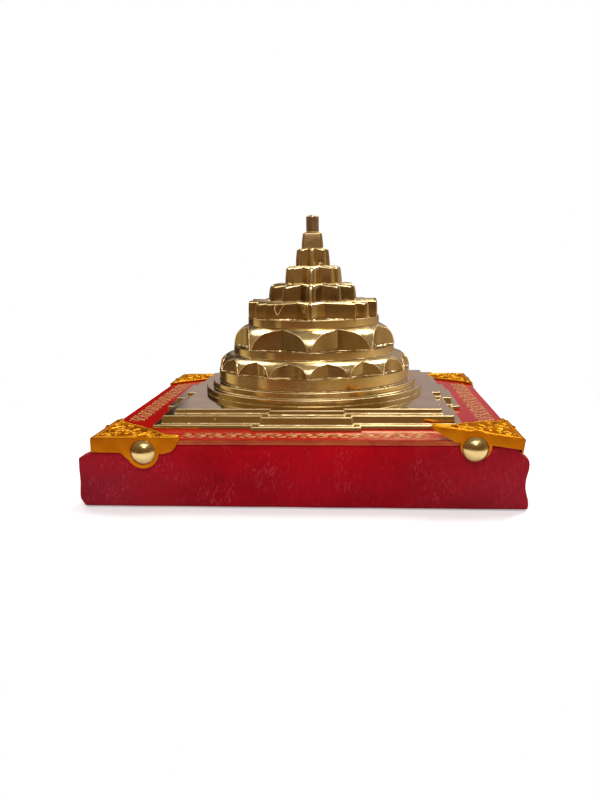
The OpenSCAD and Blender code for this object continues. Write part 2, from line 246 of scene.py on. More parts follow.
world = bpy.data.worlds.new("studio")
world.use_nodes = True
scene.world = world
sky = world.node_tree
sky.nodes.clear()
split = add_node(sky, "ShaderNodeSeparateXYZ")
link(sky, add_node(sky, "ShaderNodeTexCoord").outputs["Generated"], split.inputs[0])
compass = calculate(sky, "ARCTAN2", split.outputs[0], split.outputs[1])
turn = spread(sky, compass, -math.pi, math.pi, 0, 1)
tilt = spread(sky, split.outputs[2], -1, 1, 0, 1)
walls = ramp(sky, turn, [
    (0.00, (0.195, 0.109, 0.0482)), (0.05, (0.187, 0.0997, 0.0413)), (0.10, (0.195, 0.09, 0.0344)),
    (0.145, (0.203, 0.103, 0.0447)), (0.16, (0.374, 0.257, 0.124)), (0.172, (0.358, 0.244, 0.117)),
    (0.19, (0.15, 0.09, 0.038)), (0.25, (0.19, 0.122, 0.056)), (0.272, (0.16, 0.094, 0.035)),
    (0.305, (0.505, 0.373, 0.179)), (0.342, (0.521, 0.386, 0.186)), (0.362, (0.0488, 0.0289, 0.0172)),
    (0.47, (0.0651, 0.0386, 0.0241)), (0.52, (0.244, 0.174, 0.107)), (0.60, (0.342, 0.244, 0.151)),
    (0.67, (0.456, 0.328, 0.186)), (0.73, (0.55, 0.405, 0.22)), (0.80, (0.41, 0.29, 0.143)),
    (0.85, (0.31, 0.20, 0.08)), (0.94, (0.285, 0.176, 0.065)), (0.975, (0.277, 0.167, 0.0688)),
    (1.00, (0.195, 0.109, 0.0482))])
front_brown, side_brown = (0.19, 0.104, 0.042), (0.171, 0.106, 0.0413)
corner_dark = (0.0407, 0.0257, 0.0155)
ceiling_edge = ramp(sky, turn, [
    (0.00, front_brown), (0.12, (0.178, 0.10, 0.04)), (0.20, side_brown), (0.26, (0.309, 0.215, 0.0929)),
    (0.315, (0.277, 0.196, 0.0894)), (0.34, corner_dark), (0.4615, corner_dark),
    (0.4645, (0.389, 0.318, 0.324)), (0.55, (0.381, 0.302, 0.31)), (0.66, (0.329, 0.264, 0.245)),
    (0.73, (0.363, 0.291, 0.223)), (0.80, side_brown), (0.90, front_brown), (1.00, front_brown)])
pale, dark = (0.353, 0.28, 0.19), (0.0504, 0.035, 0.025)
ceiling = ramp(sky, turn, [(0.0, pale), (0.325, pale), (0.34, dark), (0.455, dark), (0.47, pale),
                           (1.0, pale)])
none, some, most, full = ((share, share, share) for share in (0, 0.5, 0.8, 1))
rising = ramp(sky, tilt, [(0.0, none), (0.525, none), (0.56, full)])
overhead = ramp(sky, tilt, [(0.0, none), (0.64, none), (0.78, some), (0.93, full)])
below = ramp(sky, tilt, [(0.0, full), (0.30, full), (0.39, none)])
eye_level = ramp(sky, tilt, [(0.0, full), (0.43, full), (0.456, most), (0.485, (0.55, 0.55, 0.55))])
walls = blend_colour(sky, 1.0, walls, eye_level, "MULTIPLY")
walls = blend_colour(sky, 1.0, walls, (1.24, 1.22, 1.20), "MULTIPLY")
room = blend_colour(sky, rising, walls, ceiling_edge)
room = blend_colour(sky, overhead, room, ceiling)
room = blend_colour(sky, below, room, (0.22, 0.122, 0.043))
rays = add_node(sky, "ShaderNodeLightPath").outputs
mirrored = calculate(sky, "MAXIMUM", rays["Is Glossy Ray"], rays["Is Transmission Ray"])
seen = blend_colour(sky, mirrored, (0.42, 0.42, 0.42), room)
seen = blend_colour(sky, rays["Is Camera Ray"], seen, (1.0, 1.0, 1.0))
glow = add_node(sky, "ShaderNodeBackground")
link(sky, seen, glow.inputs[0])
link(sky, glow.outputs[0], add_node(sky, "ShaderNodeOutputWorld").inputs[0])
lit_point = Vector((0, 0, 0.04))


def softbox(name, place, width, power, depth=None):
    let_go()
    bpy.ops.object.light_add(type="AREA", location=place)
    lamp = at_hand()
    lamp.name = name
    lamp.data.shape = "RECTANGLE" if depth else "DISK"
    lamp.data.size = width
    if depth:
        lamp.data.size_y = depth
    lamp.data.energy = power
    lamp.rotation_euler = (lit_point - Vector(place)).to_track_quat("-Z", "Y").to_euler()


softbox("right_lamp", (0.52, 0.46, 0.78), 0.24, 3.2)
softbox("left_lamp", (-0.52, 0.46, 0.78), 0.50, 2.2)
softbox("top_lamp", (0.17, 0.24, 0.92), 0.34, 3.2)
softbox("front_lamp", (0.10, -0.85, 0.80), 0.40, 2.2)
softbox("edge_strip", (0.10, -0.72, 0.96), 1.2, 1.6, depth=0.16)
print("world and five lamps set")

# %% [markdown]
# The floor is a round white table. It is matt, so the board's shadow lies on it, and it ends
# before the brass would mirror it in its upright faces. It glows a little to the camera and in
# mirrors, so that it meets the white behind it without a seam.

# %% Floor
def start_finish(name, **dials):
    finish = bpy.data.materials.new(name)
    finish.use_nodes = True
    tree = finish.node_tree
    surface = tree.nodes["Principled BSDF"]
    for label, value in dials.items():
        surface.inputs[label.replace("_", " ")].default_value = value
    return finish, tree, surface


floor_radius, floor_level = 0.19, -0.0004
let_go()
bpy.ops.mesh.primitive_circle_add(vertices=96, radius=floor_radius, fill_type="NGON",
                                  location=(0, 0, floor_level))
floor = at_hand()
floor.name = "floor"
settle(floor)
table, tree, surface = start_finish("white_table", Base_Color=(0.86, 0.86, 0.86, 1), Roughness=0.9,
                                    Specular_IOR_Level=0.1, Emission_Color=(1, 1, 1, 1))
rays = add_node(tree, "ShaderNodeLightPath").outputs
seen = calculate(tree, "MAXIMUM", rays["Is Camera Ray"], rays["Is Glossy Ray"])
link(tree, calculate(tree, "MULTIPLY", seen, 0.34), surface.inputs["Emission Strength"])
wear(floor, table)
print("floor laid")

# %% [markdown]
# Each finish is a set of shader nodes that reads the piece's own coordinates, so its grain stays
# with the piece. The brass is mirror polished by hand: its colour drifts a little, fine turning and
# buffing lines break the mirror, and small pits are left from the casting. The same recipe also gives
# duller, rougher and darker kinds. Two of them are painted shade: the browner brass and the hollow
# brass are darker copies of the polished brass for faces that stand in shade.

# %% Finish: polished brass
def grain(tree, size, detail=3.0, stretch=(1, 1, 1)):
    place = add_node(tree, "ShaderNodeTexCoord").outputs["Object"]
    mapping = add_node(tree, "ShaderNodeMapping")
    mapping.inputs["Scale"].default_value = stretch
    link(tree, place, mapping.inputs["Vector"])
    cloud = add_node(tree, "ShaderNodeTexNoise")
    cloud.inputs["Scale"].default_value = 1 / (size * mm)
    cloud.inputs["Detail"].default_value = detail
    link(tree, mapping.outputs[0], cloud.inputs["Vector"])
    return cloud.outputs["Fac"]


def paint(tree, surface, source, *stops):
    link(tree, ramp(tree, source, stops), surface.inputs["Base Color"])


def polish(tree, surface, source, low, high):
    link(tree, spread(tree, source, 0.3, 0.7, low, high), surface.inputs["Roughness"])


def bump(tree, surface, *layers):
    last = None
    for height, strength, depth in layers:
        node = add_node(tree, "ShaderNodeBump")
        node.inputs["Strength"].default_value = strength
        node.inputs["Distance"].default_value = depth * mm
        link(tree, height, node.inputs["Height"])
        if last is not None:
            link(tree, last, node.inputs["Normal"])
        last = node.outputs["Normal"]
    link(tree, last, surface.inputs["Normal"])


def one_grain(name, pattern, stops, gloss, dents, **dials):
    finish, tree, surface = start_finish(name, **dials)
    source = grain(tree, *pattern)
    paint(tree, surface, source, *stops)
    polish(tree, surface, source, *gloss)
    bump(tree, surface, (source, *dents))
    return finish


def polished_brass(name, deep, bright, low, high, lines=0.05, pits=0.1):
    finish, tree, surface = start_finish(name, Metallic=1.0)
    paint(tree, surface, grain(tree, 14, 4), (0.32, deep), (0.66, bright))
    polish(tree, surface, grain(tree, 3, 5, (1, 1, 2.5)), low, high)
    turned = grain(tree, 9, 2, (1, 1, 22))
    pitted = spread(tree, grain(tree, 0.9, 3), 0.58, 0.78, 0, -1)
    waves = grain(tree, 7, 2)
    bump(tree, surface, (waves, 0.1, 0.35), (turned, lines, 0.05), (pitted, pits, 0.05))
    return finish


deep, bright = (0.76, 0.60, 0.33), (0.94, 0.78, 0.46)
brass = polished_brass("brass_polished", deep, bright, 0.07, 0.17)
brass_ring = polished_brass("brass_turned", deep, bright, 0.07, 0.16, lines=0.14)
brass_flat = polished_brass("brass_flat", deep, bright, 0.03, 0.08)
brass_edge = polished_brass("brass_buffed_edge", (0.74, 0.56, 0.28), (0.90, 0.73, 0.42), 0.26, 0.36)
# painted shade: a darker copy of the polished brass, for the petals' hollow walls and the outer ten-point
# tier's walls
brass_hollow_painted_shade = polished_brass("brass_hollow_painted_shade", (0.44, 0.32, 0.155), (0.60, 0.465, 0.26), 0.09, 0.20, 0.08)
brass_shoulder = polished_brass("brass_shoulder", (0.66, 0.49, 0.23), (0.86, 0.68, 0.37), 0.18, 0.27)
brass_rough = polished_brass("brass_cast_bead", (0.78, 0.59, 0.31), (1.0, 0.86, 0.56), 0.24, 0.40, 0.1, 0.5)
# painted shade: a darker, browner copy of the polished brass, for the fourteen-point tier's walls
brass_painted_shade = polished_brass("brass_painted_shade", (0.62, 0.46, 0.21), (0.80, 0.62, 0.32), 0.07, 0.17)
brass_dull = polished_brass("brass_dull", (0.58, 0.42, 0.20), (0.76, 0.57, 0.31), 0.26, 0.4)
brass_dark = polished_brass("brass_dark", (0.44, 0.30, 0.20), (0.60, 0.43, 0.30), 0.26, 0.4)
print("brass finishes made")

# %% [markdown]
# The brass castings already have the right form as solids, but a solid comes in as loose triangles.
# Each one is copied, its triangles are merged and its flat faces joined, so that its real edges can
# be found and worked on. The two petal rings are raised anew, so they aren't copied.

# %% Castings
def merged(node, name):
    piece = twin(nodes[node], name)
    pick(piece)
    edit_mode("SELECT")
    bpy.ops.mesh.remove_doubles(threshold=0.002 * mm)
    bpy.ops.mesh.dissolve_limited(angle_limit=math.radians(0.5))
    object_mode()
    bpy.ops.mesh.customdata_custom_splitnormals_clear()
    return piece


star_names = ("fourteen_point_tier", "outer_ten_point_tier", "inner_ten_point_tier", "eight_point_tier",
              "triangle_tier")
cast_names = ("square_base", "circular_steps", "star_drum", *star_names, "bindu")
castings = {node: merged(node, "brass_" + node) for node in cast_names}
print("copied", len(castings), "castings")

# %% [markdown]
# Two rings carry the lotus petals. Each petal is scooped out of the ring's round shoulder: an upright
# hollow wall under a rim that rises to a point. Cutting it with a boolean would leave broken edges
# along the rim. So a ring is raised row by row from a circle, as a potter would: up the band, in over
# the ledge, up the petal's wall to its rim, then over the shoulder. The wheel reaches these parts
# differently: the band shows turning lines and the shoulder is satin. The hollow walls are painted
# darker, a painted shade in the hollows.

# %% Petal rings
key_depth = 1.2 * mm
band_height = {"sixteen_petal_ring": 4.8, "eight_petal_ring": 3.0}
foot = {node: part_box(node)[0].z + key_depth for node in (*castings, *band_height)}
wall_row, rim_row, shoulder_rows = 4, 7, 8


def raised_rows(columns, rows):
    let_go()
    bpy.ops.mesh.primitive_circle_add(vertices=columns, radius=10 * mm)
    edit_mode("SELECT")
    for row in range(rows - 1):
        extrude_up(mm)
    object_mode()
    return at_hand()


def row_and_column(point, columns):
    turn = math.atan2(-point.co.x, point.co.y) / math.tau
    return round(point.co.z / mm), round(turn * columns) % columns


def arch(across):
    across = min(1, abs(across) / 0.98)
    return 1 - 0.3 * across - 0.7 * across ** 6


def petal_ring(node, count, dome, top_radius, bore, per_petal, rise):
    band = band_height[node]
    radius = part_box(node)[1].x / mm
    curve = ((radius - top_radius) ** 2 + dome ** 2) / (2 * (radius - top_radius))

    def shoulder(height):
        return radius - curve + math.sqrt(curve ** 2 - height ** 2)

    def profile(across):
        rim = rise * dome * arch(across)
        wall = shoulder(rim)
        edge = min(0.35, (radius - wall) / 2)
        rows = [(radius, 0), (radius, band - edge), (radius - 0.3 * edge, band - 0.3 * edge),
                (radius - edge, band)]
        rows += [(wall, band + rim * share) for share in (0, 0.33, 0.66, 1)]
        start, end = math.asin(rim / curve), math.asin(dome / curve)
        for k in range(1, shoulder_rows + 1):
            height = curve * math.sin(start + (end - start) * k / shoulder_rows)
            rows.append((shoulder(min(height, dome)), band + min(height, dome)))
        return rows + [(bore, band + dome), (bore, 0)]

    columns = count * per_petal
    ring = raised_rows(columns, len(profile(0)))
    wear(ring, brass_ring, brass_hollow_painted_shade, brass_shoulder)
    grid = [row_and_column(point, columns) for point in ring.data.vertices]
    for face in ring.data.polygons:
        rows = [grid[i][0] for i in face.vertices]
        # faces in the hollow take the darker brass: a painted shade
        hollow = min(rows) >= wall_row and max(rows) <= rim_row
        face.material_index = 2 if min(rows) >= rim_row else 1 if hollow else 0
    for point in ring.data.vertices:
        row, column = grid[point.index]
        step = 2 * (column % per_petal) / per_petal - 1
        across = 0.5 * step + 0.5 * math.sin(step * math.pi / 2)
        angle = -math.pi / 2 + (column // per_petal + (across + 1) / 2) * math.tau / count
        out, up = profile(across)[row]
        point.co = Vector((out * math.cos(angle), out * math.sin(angle), foot[node] / mm + up)) * mm
    pick(ring)
    work_on(edges=True)
    edit_mode("SELECT")
    bpy.ops.mesh.remove_doubles(threshold=0.002 * mm)
    bpy.ops.mesh.select_all(action="DESELECT")
    bpy.ops.mesh.select_non_manifold()
    bpy.ops.mesh.bridge_edge_loops()
    face_outward(ring)
    even_shading(ring, 30)
    ring.name = "brass_" + node
    print(node, len(ring.data.polygons), "faces")
    return ring


castings["sixteen_petal_ring"] = petal_ring("sixteen_petal_ring", count=16, dome=6.2, top_radius=33.9,
                                            bore=31.5, per_petal=26, rise=0.86)
castings["eight_petal_ring"] = petal_ring("eight_petal_ring", count=8, dome=8.6, top_radius=27.6,
                                          bore=24, per_petal=40, rise=0.97)

# %% [markdown]
# Where one level stands on the next, the casting keeps a thin ragged bead that the buffing wheel
# didn't reach. The foot line of a level is picked from its edges, turned into a thin round wire,
# and roughened with a cloud texture. The petals' rims carry a finer line of the same kind.

# %% Cast beads along the feet
def foot_keys(piece, height, beyond=0, shortest=0):
    mesh = piece.data
    walls = set()
    for face in mesh.polygons:
        if abs(face.normal.z) < 0.8 and face.center.z > height + 0.05 * mm:
            walls.update(face.edge_keys)
    feet = []
    for key in sorted(walls):
        a, b = (mesh.vertices[i].co for i in key)
        level = max(abs(a.z - height), abs(b.z - height)) < 0.01 * mm
        if level and (a - b).length >= shortest * mm and a.to_2d().length > beyond * mm:
            feet.append(key)
    return feet


def rim_keys(piece, ledge):
    mesh = piece.data
    upright, domed = set(), set()
    for face in mesh.polygons:
        (upright if abs(face.normal.z) < 0.01 else domed).update(face.edge_keys)
    high = {v.index for v in mesh.vertices if v.co.z > ledge + 0.02 * mm}
    rims = sorted(key for key in upright & domed if key[0] in high or key[1] in high)
    summit = max(v.co.z for v in mesh.vertices) - 0.02 * mm
    return [key for key in rims if min(mesh.vertices[i].co.z for i in key) < summit]


def split_long(longest):
    for again in range(8):
        object_mode()
        wire = at_hand().data
        for edge in wire.edges:
            a, b = (wire.vertices[i].co for i in edge.vertices)
            edge.select = (a - b).length > longest
        edit_mode()
        bpy.ops.mesh.subdivide(number_cuts=1)
        bpy.ops.mesh.select_all(action="DESELECT")
    object_mode()


ragged = bpy.data.textures.new("ragged", "CLOUDS")
ragged.noise_scale = 1.6 * mm
ragged.noise_depth = 2


def roughen(piece, strength, middle):
    apply_modifier(piece, "DISPLACE", texture=ragged, texture_coords="GLOBAL", strength=strength * mm,
                   mid_level=middle)


def cast_bead(node, keys, radius, name, ragged_share=2.6):
    piece, wanted = castings[node], set(keys)
    pick(piece)
    work_on(edges=True)
    edit_mode("DESELECT")
    object_mode()
    for edge in piece.data.edges:
        edge.select = edge.key in wanted
    edit_mode()
    bpy.ops.mesh.duplicate()
    bpy.ops.mesh.separate(type="SELECTED")
    object_mode()
    pick([o for o in bpy.context.selected_objects if o != piece][0])
    split_long(0.9 * mm)
    bpy.ops.object.convert(target="CURVE")
    wire = at_hand()
    wire.data.bevel_depth = radius * mm
    wire.data.bevel_resolution = 1
    bpy.ops.object.convert(target="MESH")
    wire = at_hand()
    roughen(wire, ragged_share * radius, 0.52)
    smooth(wire, 60)
    wire.name = name
    hand_over(wire, "yantra", "polished_brass", brass_rough)
    print(name, len(wire.data.polygons), "faces")


plate_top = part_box("square_base")[0].z
# Tops of the base's three levels, in mm over the plate
low_level, middle_level, upper_level = 1.4, 4.3, 6.0
level_feet = [(low_level, 0.16, "bead_middle_level"), (middle_level, 0.22, "bead_upper_level")]
for height, radius, name in level_feet:
    keys = foot_keys(castings["square_base"], plate_top + height * mm, shortest=4)
    cast_bead("square_base", keys, radius, name)
steps_foot, step_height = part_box("circular_steps")[0].z, 2.4 * mm
round_feet = [("circular_steps", steps_foot, 44, "bead_lower_step"),
              ("circular_steps", steps_foot + step_height, 42, "bead_upper_step"),
              ("sixteen_petal_ring", foot["sixteen_petal_ring"], 39, "bead_sixteen_foot"),
              ("eight_petal_ring", foot["eight_petal_ring"], 30, "bead_eight_foot")]
for node, height, beyond, name in round_feet:
    cast_bead(node, foot_keys(castings[node], height, beyond), 0.12, name)
ledge = {node: foot[node] + band * mm for node, band in band_height.items()}
beads = [("sixteen_petal_ring", 0.3, "bead_sixteen_petals"), ("eight_petal_ring", 0.3, "bead_eight_petals"),
         ("fourteen_point_tier", 0.3, "bead_fourteen_points"),
         ("outer_ten_point_tier", 0.3, "bead_outer_ten_points"),
         ("inner_ten_point_tier", 0.26, "bead_inner_ten_points"),
         ("eight_point_tier", 0.24, "bead_eight_points"), ("triangle_tier", 0.16, "bead_triangle")]
for node, radius, name in beads:
    cast_bead(node, foot_keys(castings[node], ledge.get(node, foot[node])), radius, name)
for node, name in (("sixteen_petal_ring", "rim_sixteen_petals"), ("eight_petal_ring", "rim_eight_petals")):
    cast_bead(node, rim_keys(castings[node], ledge[node]), 0.17, name, ragged_share=0.8)

# %% [markdown]
# The star tiers are cast with soft corners: every point and every top edge is buffed round, the walls
# bulge a little, and the wheel leaves the points and the top edges brighter than the walls, as a
# rougher brass that catches the lamps. The walls of the fourteen-point and outer ten-point tiers are
# also painted darker, a painted shade. A bevel would be held back by the shortest edge of such an
# outline. So the foot line is walked round, its points are drawn out as far as the rounding will take
# them back, its corners are turned into small arcs, and the new outline is raised in steps that lean
# in and then roll over the top edge. At a point the roll may go further than the arc is wide, down the
# ridge, so that it ends as a soft nose.

# %% Star tiers
def walk(piece, keys):
    near = {}
    for a, b in keys:
        near.setdefault(a, []).append(b)
        near.setdefault(b, []).append(a)
    loop = [min(near)]
    while len(loop) < len(near):
        loop.append([n for n in near[loop[-1]] if n not in loop[-2:]][0])
    points = [piece.data.vertices[i].co.to_2d() for i in loop]
    turning = sum(points[i - 1].x * p.y - p.x * points[i - 1].y for i, p in enumerate(points))
    return points if turning > 0 else points[::-1]


straight, side_lip, notch_lip, nose = 0.3, 0.8, 0.4, 1.5


def soft_corners(points, outer, inner, lip, steps=5):
    soft, rolls, shiny, tips = [], [], set(), {}
    for i, here in enumerate(points):
        back, on = points[i - 1] - here, points[(i + 1) % len(points)] - here
        turn = math.pi - back.angle(on)
        if turn < straight:
            soft.append(here)
            rolls.append(side_lip * lip * mm)
            continue
        convex = -back.x * on.y + back.y * on.x > 0
        wanted = (outer if convex else inner) * mm * math.tan(turn / 2)
        reach = min(wanted, 0.45 * back.length, 0.45 * on.length)
        start = here + back.normalized() * reach
        inward = (back.normalized() + on.normalized()).normalized()
        middle = here + inward * (reach / math.sin(turn / 2))
        radius = reach / math.tan(turn / 2)
        slope = math.cos(turn / 2)
        for k in range(steps + 1):
            spin = Matrix.Rotation((turn if convex else -turn) * k / steps, 2)
            if convex and k in (2, 3):
                shiny.add(len(soft))
            if convex:
                tips[len(soft)] = (middle, radius, inward / slope)
            soft.append(middle + spin @ (start - middle))
            rolls.append(min(lip * mm, radius + nose * mm * slope) if convex else notch_lip * lip * mm)
    return soft, rolls, shiny, tips


def outward(i, outline):
    along = outline[(i + 1) % len(outline)] - outline[i - 1]
    return Vector((along.y, -along.x)).normalized()


def rolled_in(i, roll, outline, tips):
    if i not in tips:
        return -outward(i, outline) * roll
    middle, radius, inward = tips[i]
    if roll > 0.95 * radius:
        return (middle - outline[i]) * 0.95 + inward * (roll - 0.95 * radius)
    return (middle - outline[i]) * (roll / radius)


def drawn_out(points, edge):
    moved = []
    for i, here in enumerate(points):
        back = (points[i - 1] - here).normalized()
        on = (points[(i + 1) % len(points)] - here).normalized()
        inside = back.angle(on)
        convex = -back.x * on.y + back.y * on.x > 0
        reach = edge * mm * (1 / math.sin(inside / 2) - 1) if convex and inside < 2.8 else 0
        moved.append(here - (back + on).normalized() * min(reach, 1.4 * edge * mm))
    return moved


def close_end(tier, height):
    pick(tier)
    edit_mode("DESELECT")
    object_mode()
    for point in tier.data.vertices:
        point.select = abs(point.co.z - height) < 1e-6
    edit_mode()
    bpy.ops.mesh.edge_face_add()
    bpy.ops.mesh.quads_convert_to_tris()


sunk = 1.1 * mm
bulge, notch_radius = 0.07, 0.35
wall_shares, roll_turns = (0.35, 0.7), (0, 0.4, 0.8, 1.18, 1.5708)


def star_tier(node, edge, lip_share, dull_rows, finish):
    piece = castings[node]
    base, summit = foot[node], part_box(node)[1].z
    feet = walk(piece, foot_keys(piece, base))
    lip = lip_share * edge
    outline, rolls, shiny, tips = soft_corners(drawn_out(feet, edge), edge, notch_radius, lip)
    top_reach = max(v.co.to_2d().length for v in piece.data.vertices if v.co.z > summit - 0.01 * mm)
    shrink = top_reach / max(p.length for p in feet)
    wall = summit - lip * mm - base
    levels = [(base, 0.0)] + [(base + share * wall, 0.0) for share in wall_shares]
    first_roll = len(levels)
    levels += [(summit - lip * mm * (1 - math.sin(t)), 1 - math.cos(t)) for t in roll_turns]
    tier = raised_rows(len(outline), len(levels))
    wear(tier, finish, brass_edge)
    grid = [row_and_column(point, len(outline)) for point in tier.data.vertices]
    for face in tier.data.polygons:
        high = min(grid[i][0] for i in face.vertices) > dull_rows
        ridged = all(grid[i][1] in shiny for i in face.vertices)
        face.material_index = 1 if high or ridged else 0
    for point in tier.data.vertices:
        step, i = grid[point.index]
        height, roll = levels[step]
        lean = 1 + (shrink - 1) * (height - base) / (summit - base)
        share = min(1, (height - base) / wall)
        place = outline[i] * lean + outward(i, outline) * bulge * wall * share * (1 - share)
        place += rolled_in(i, roll * rolls[i], outline, tips)
        drop = (summit - height) * (rolls[i] / (lip * mm) if step >= first_roll else 1)
        point.co = (place.x, place.y, summit - drop if step else base - sunk)
    work_on(points=True)
    close_end(tier, base - sunk)
    close_end(tier, summit)
    face_outward(tier)
    even_shading(tier, 34)
    return tier


# Radius of the points in mm, share of it that the top edge rolls over, last dull row, finish
# The first two finishes are painted shade: darker brass for the walls of the fourteen-point and outer
# ten-point tiers.
star_looks = [(2.2, 0.9, 5, brass_painted_shade), (2.7, 0.78, 5, brass_hollow_painted_shade), (2.5, 0.84, 4, brass),
              (1.8, 0.7, 4, brass), (1.2, 0.7, 4, brass_dull)]
for node, looks in zip(star_names, star_looks):
    tier = star_tier(node, *looks)
    bpy.data.objects.remove(castings[node])
    castings[node] = tier
    tier.name = "brass_" + node
    hand_over(tier, "yantra", "polished_brass", None, node)
    print(node, len(tier.data.polygons), "faces")

# %% [markdown]
# The base, the steps, the drum and the bindu keep the form of their solids. The base's upright faces
# get a little draft, as a casting needs to leave its mould, which also keeps them from mirroring
# only the red plate. Then the knife edges are buffed over with a narrow round bevel, which shines as
# a thin line, and the flats stay flat.

# %% Buffed edges of the round and square castings
def round_edges(piece, width, steps=3, from_angle=24, edge_finish=-1):
    apply_modifier(piece, "BEVEL", width=width * mm, segments=steps, limit_method="ANGLE",
                   material=edge_finish, angle_limit=math.radians(from_angle), use_clamp_overlap=True)
    even_shading(piece, 32)


base_mesh = castings["square_base"].data
draft = {low_level: 0.25, middle_level: 0.46, upper_level: 0.24}
shifts = {}
for face in base_mesh.polygons:
    summit = max(base_mesh.vertices[i].co.z for i in face.vertices)
    lean = [draft[level] for level in draft if abs(summit - plate_top - level * mm) < 0.02 * mm]
    if abs(face.normal.z) < 0.1 and lean:
        for i in face.vertices:
            if base_mesh.vertices[i].co.z > summit - 0.02 * mm:
                side = (round(face.normal.x), round(face.normal.y))
                shifts.setdefault(i, {})[side] = lean[0] * mm
for i, sides_met in shifts.items():
    for (x, y), lean in sides_met.items():
        base_mesh.vertices[i].co -= Vector((x, y, 0)) * lean
buffed = {"square_base": (brass_flat, 0.28), "circular_steps": (brass_ring, 0.28),
          "star_drum": (brass_ring, 0.28), "bindu": (brass_dark, 0.4)}
for node, (finish, width) in buffed.items():
    wear(castings[node], finish, brass_edge)
    round_edges(castings[node], width, edge_finish=1)
for node in ("square_base", "circular_steps", *band_height, "star_drum", "bindu"):
    hand_over(castings[node], "yantra", "polished_brass", None, node)
    print(node, len(castings[node].data.polygons), "faces")

# %% [markdown]
# A few casting flaws were left standing: a ragged line in the shape of a leaf on the left of the
# fourteen-point tier, lumps at the foot of the eight-point tier, and a speck on the base. Each is a
# handful of small roughened beads, set on the surface where a line from the front meets it.

# %% Casting flaws
def speck(node, x, z, size):
    spot = castings[node].ray_cast(Vector((x, -100, z)) * mm, Vector((0, 1, 0)))[1]
    bpy.ops.mesh.primitive_ico_sphere_add(subdivisions=2, radius=size * mm, location=spot)
    grainy = at_hand()
    settle(grainy)
    roughen(grainy, size, 0.5)
    return grainy


dice = random.Random(7)
leaf_line = [(1.2, 1.9), (-1.3, 1.8), (-1.7, 0.2), (-1.2, -1.4), (-0.5, -2.3), (0.6, -0.6), (2.1, 1.8)]
leaf_x, leaf_z, leaf_beads = -12.5, 64.3, 30
lump_x, lump_z = 3.4, 81.4
specks = []
for count in range(leaf_beads):
    place = count / (leaf_beads - 1) * (len(leaf_line) - 1)
    first = min(int(place), len(leaf_line) - 2)
    spot = Vector(leaf_line[first]).lerp(Vector(leaf_line[first + 1]), place - first)
    x, z = leaf_x + spot.x + dice.uniform(-0.1, 0.1), leaf_z + spot.y + dice.uniform(-0.1, 0.1)
    specks.append(speck("fourteen_point_tier", x, z, dice.uniform(0.18, 0.3)))
for count in range(4):
    x, z = lump_x + dice.uniform(-0.8, 0.8), lump_z + dice.uniform(-0.3, 0.5)
    specks.append(speck("eight_point_tier", x, z, dice.uniform(0.3, 0.5)))
specks.append(speck("square_base", -33.5, 26.8, 0.34))
flaws = join("cast_flaws", specks)
smooth(flaws, 60)
hand_over(flaws, "yantra", "polished_brass", brass_rough)
print("flaw faces:", len(flaws.data.polygons))

# %% [markdown]
# The board is wrapped in velvet, pulled over the top and sides and turned under as a hem. It is one
# sheet of cloth, so it starts as a box that is cut into small squares and opened below. Each
# square's corner is then pushed where the hands and tacks pushed the real cloth: flat under the
# brackets and tacks, puffed between them, and standing out in folds at the corners.

# %% Velvet cover
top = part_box("velvet_cover")[1].z
cloth_half, hem_inside, cloth_low, cloth_high = 72.2, 64.8, 0.05, 21.72
let_go()
bpy.ops.mesh.primitive_cube_add(size=1, location=(0, 0, top / 2),
                                scale=(2 * cloth_half * mm, 2 * cloth_half * mm, top))
velvet = at_hand()
settle(velvet)
work_on(edges=True)
edit_mode("SELECT")
bpy.ops.mesh.subdivide(number_cuts=11)
split_long(2.2 * mm)
mesh = velvet.data
for face in mesh.polygons:
    inside = max(abs(face.center.x), abs(face.center.y)) < hem_inside * mm
    face.select = face.normal.z < -0.5 and inside
work_on(faces=True)
edit_mode()
bpy.ops.mesh.delete(type="FACE")
object_mode()
print("velvet squares:", len(mesh.polygons))
sides = ("front", "right", "rear", "left")
tack_height, tack_along, front_right_tack = 19.2, 55, 57.6


def ease(low, high, value):
    share = min(1, max(0, (value - low) / (high - low)))
    return share * share * (3 - 2 * share)


def pressed(along, z, tack_at):
    tack = 1 - ease(6.6, 10.5, math.hypot(abs(along) - tack_at, z - tack_height))
    flange = ease(39, 43, abs(along)) * ease(17.6, 18.8, z)
    return max(tack, flange)


def puff(side, along, z):
    wave = noise.noise(Vector((along * 0.06, z * 0.05, 3.7 * sides.index(side))))
    small = noise.noise(Vector((along * 0.2, z * 0.22, 1.3 * sides.index(side))))
    corner = ease(58, 66, abs(along))
    if side == "left":
        swell = 2.5 + 3.1 * corner + 0.5 * wave + 0.2 * small + 0.5 * (1 - ease(0, 9, z))
        swell -= 1.8 * (1 - ease(0, 3.4, z))
    elif side == "right":
        swell = 1.2 + 0.5 * wave + 0.2 * small + corner * (1.5 + 0.6 * math.cos((z - 15.5) * 0.46))
    else:
        belly = 0.5 + 0.5 * math.sqrt(math.sin(math.pi * min(1, max(0, z / 21))))
        swell = (0.8 + 0.35 * wave + 0.16 * small) * belly
    tack_at = front_right_tack if side == "front" and along > 0 else tack_along
    return swell * (1 - pressed(along, z, tack_at))


for point in mesh.vertices:
    x, y, z = (c / mm for c in point.co)
    if abs(x) > cloth_half - 0.1:
        x = math.copysign(cloth_half + puff("right" if x > 0 else "left", y, z), x)
    if abs(y) > cloth_half - 0.1:
        y = math.copysign(cloth_half + puff("rear" if y > 0 else "front", x, z), y)
    point.co = Vector((x, y, min(cloth_high, max(cloth_low, z)))) * mm
apply_modifier(velvet, "BEVEL", width=1.9 * mm, segments=3, limit_method="ANGLE",
               angle_limit=math.radians(50))
apply_modifier(velvet, "SMOOTH", factor=0.5, iterations=2)
apply_modifier(velvet, "SOLIDIFY", thickness=0.7 * mm, offset=-1)
smooth(velvet, 60)
velvet.name = "velvet_wrap"
print("velvet faces:", len(velvet.data.polygons))
